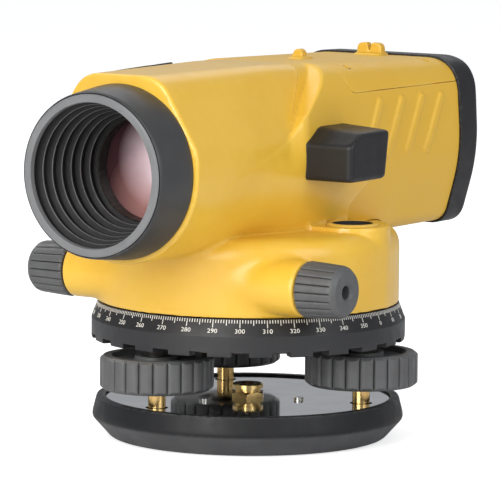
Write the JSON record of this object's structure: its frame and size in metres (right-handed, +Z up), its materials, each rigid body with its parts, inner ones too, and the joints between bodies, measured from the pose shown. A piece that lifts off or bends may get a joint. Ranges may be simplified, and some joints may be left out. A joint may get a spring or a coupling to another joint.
{
  "type": "automatic level",
  "caption": "Surveyor's automatic level: yellow telescope on a drum with tangent screw, graduated circle and a base with foot screws.",
  "frame": {"origin": "centre of the base plate's underside, on the standing axis", "axes": "+Z up along the standing axis; the objective looks along -Y and the eyepiece is at +Y; +X is the operator's left"},
  "size_m": [0.1224, 0.2097, 0.1289],
  "materials": {
    "yellow_paint": "satin yellow coat on a die-cast housing",
    "yellow_plastic": "satin moulded yellow plastic",
    "black_plastic": "fine-grained black plastic",
    "knob_grey": "dark grey ribbed plastic",
    "hood_grey": "dark grey satin hood",
    "dark_paint": "dark grey satin paint",
    "circle_black": "black with white graduations",
    "black_metal": "blackened metal",
    "mirror_steel": "polished stainless sheet",
    "steel": "machined",
    "brass": "machined",
    "black_rubber": "soft matte",
    "clear_glass": "polished",
    "coated_glass": "multi-coated",
    "vial_glass": "polished, greenish liquid below"
  },
  "bodies": {
    "base": {"base_plate": "dark_paint", "spring_plate": "mirror_steel", "spring_plate_screws": "steel", "centre_nut": "brass", "foot_sockets_ab": "brass"},
    "seat_c": {"foot_seat_c": "brass"},
    "collar_c": {"foot_collar_c": "brass"},
    "trivet": {"trivet": "black_metal", "spindle": "steel", "axis_retainer": "steel"},
    "stud_a": {"foot_screw_a": "brass"},
    "stud_b": {"foot_screw_b": "brass"},
    "stud_c": {"foot_screw_c": "brass"},
    "knob_a": {"foot_nut_a": "black_metal", "foot_knob_a": "knob_grey"},
    "knob_b": {"foot_nut_b": "black_metal", "foot_knob_b": "knob_grey"},
    "knob_c": {"foot_nut_c": "black_metal", "foot_knob_c": "knob_grey"},
    "circle": {"circle_ring": "circle_black"},
    "wheel": {"worm_wheel": "brass", "clutch_washers": "steel"},
    "upper": {"axis_bush": "brass", "main_housing": "yellow_paint", "rear_cover": "yellow_plastic", "top_lid": "yellow_plastic", "lid_screws": "steel", "rear_cap": "black_plastic", "rear_cap_screws": "black_metal", "side_cover": "black_plastic", "prism_housing": "black_plastic", "bubble_prism": "clear_glass", "vial_holder": "yellow_paint", "circular_vial": "vial_glass", "objective_hood": "hood_grey", "objective_cell": "black_metal", "objective_lenses": "coated_glass", "focusing_tube": "black_metal", "compensator_frame": "black_metal", "roof_prism": "clear_glass", "suspension_tapes": "steel", "damping_magnet": "steel", "reticle_ring": "brass", "reticle_glass": "clear_glass", "reticle_screws": "steel", "eyepiece_tube": "black_metal", "tangent_bushes": "brass"},
    "tangent": {"tangent_screw": "steel", "tangent_knob_left": "knob_grey", "tangent_knob_right": "knob_grey"},
    "focus_drive": {"focusing_pinion": "steel", "focusing_knob": "knob_grey"},
    "focus_carriage": {"focusing_cell": "black_metal", "focusing_lens": "clear_glass"},
    "pendulum": {"pendulum": "brass", "pendulum_prisms": "clear_glass"},
    "dioptre": {"eyepiece_ring": "knob_grey", "eyecup": "black_rubber"},
    "ocular": {"eyepiece_lens_tube": "black_metal", "eyepiece_lenses": "clear_glass"}
  },
  "joints": [
    {"name": "tilt_a", "type": "hinge", "parent": "base", "child": "seat_c", "pos_m": [-0.01095, -0.03868, 0.008], "axis": [0.2453, -0.9694, 0], "range_deg": [-1.42, 1.42]},
    {"name": "tilt_b", "type": "hinge", "parent": "seat_c", "child": "collar_c", "pos_m": [-0.01095, -0.03868, 0.008], "axis": [0.7169, 0.6972, 0], "range_deg": [-1.42, 1.42]},
    {"name": "tilt_c", "type": "hinge", "parent": "collar_c", "child": "trivet", "pos_m": [0.00547, 0.01934, 0.008], "axis": [-0.9622, 0.2723, 0], "range_deg": [-1.42, 1.42]},
    {"name": "foot_knob_a_turn", "type": "hinge", "parent": "trivet", "child": "knob_a", "pos_m": [0.03897, 0.00986, 0.025], "axis": [0, 0, 1], "range_deg": [-720, 720]},
    {"name": "foot_screw_a_slide", "type": "slide", "parent": "trivet", "child": "stud_a", "axis": [0, 0, 1], "range_m": [-0.00152, 0.00152]},
    {"name": "foot_knob_b_turn", "type": "hinge", "parent": "trivet", "child": "knob_b", "pos_m": [-0.02803, 0.02882, 0.025], "axis": [0, 0, 1], "range_deg": [-720, 720]},
    {"name": "foot_screw_b_slide", "type": "slide", "parent": "trivet", "child": "stud_b", "axis": [0, 0, 1], "range_m": [-0.00152, 0.00152]},
    {"name": "foot_knob_c_turn", "type": "hinge", "parent": "trivet", "child": "knob_c", "pos_m": [-0.01095, -0.03868, 0.025], "axis": [0, 0, 1], "range_deg": [-720, 720]},
    {"name": "foot_screw_c_slide", "type": "slide", "parent": "trivet", "child": "stud_c", "axis": [0, 0, 1], "range_m": [-0.00152, 0.00152]},
    {"name": "circle_turn", "type": "hinge", "parent": "trivet", "child": "circle", "pos_m": [0, 0, 0.041], "axis": [0, 0, 1], "continuous": true},
    {"name": "coarse_turn", "type": "hinge", "parent": "trivet", "child": "wheel", "pos_m": [0, 0, 0.052], "axis": [0, 0, 1], "continuous": true},
    {"name": "fine_turn", "type": "hinge", "parent": "wheel", "child": "upper", "pos_m": [0, 0, 0.052], "axis": [0, 0, 1], "continuous": true},
    {"name": "tangent_screw_turn", "type": "hinge", "parent": "upper", "child": "tangent", "pos_m": [0, -0.0355, 0.0566], "axis": [1, 0, 0], "continuous": true},
    {"name": "focusing_knob_turn", "type": "hinge", "parent": "upper", "child": "focus_drive", "pos_m": [-0.034, -0.026, 0.0968], "axis": [1, 0, 0], "range_deg": [-190, 190]},
    {"name": "focusing_lens_slide", "type": "slide", "parent": "upper", "child": "focus_carriage", "axis": [0, 1, 0], "range_m": [-0.0079, 0.0079]},
    {"name": "pendulum_swing", "type": "hinge", "parent": "upper", "child": "pendulum", "pos_m": [0, 0.022, 0.106], "axis": [1, 0, 0], "range_deg": [-0.5, 0.5]},
    {"name": "dioptre_ring_turn", "type": "hinge", "parent": "upper", "child": "dioptre", "pos_m": [0, 0.104, 0.0955], "axis": [0, 1, 0], "range_deg": [-170, 170]},
    {"name": "ocular_slide", "type": "slide", "parent": "upper", "child": "ocular", "axis": [0, 1, 0], "range_m": [-0.00118, 0.00118]}
  ],
  "couplings": [
    {"joint": "foot_knob_a_turn", "follows": "tilt_a", "ratio": 505.17},
    {"joint": "foot_screw_a_slide", "follows": "tilt_a", "m_per_rad": -0.0603},
    {"joint": "foot_knob_b_turn", "follows": "tilt_b", "ratio": 505.17},
    {"joint": "foot_screw_b_slide", "follows": "tilt_b", "m_per_rad": -0.0603},
    {"joint": "foot_knob_c_turn", "follows": "tilt_c", "ratio": 505.17},
    {"joint": "foot_screw_c_slide", "follows": "tilt_c", "m_per_rad": -0.0603},
    {"joint": "tangent_screw_turn", "follows": "fine_turn", "ratio": 100},
    {"joint": "focusing_knob_turn", "follows": "focusing_lens_slide", "rad_per_m": 416.67},
    {"joint": "dioptre_ring_turn", "follows": "ocular_slide", "rad_per_m": 2513.3}
  ]
}
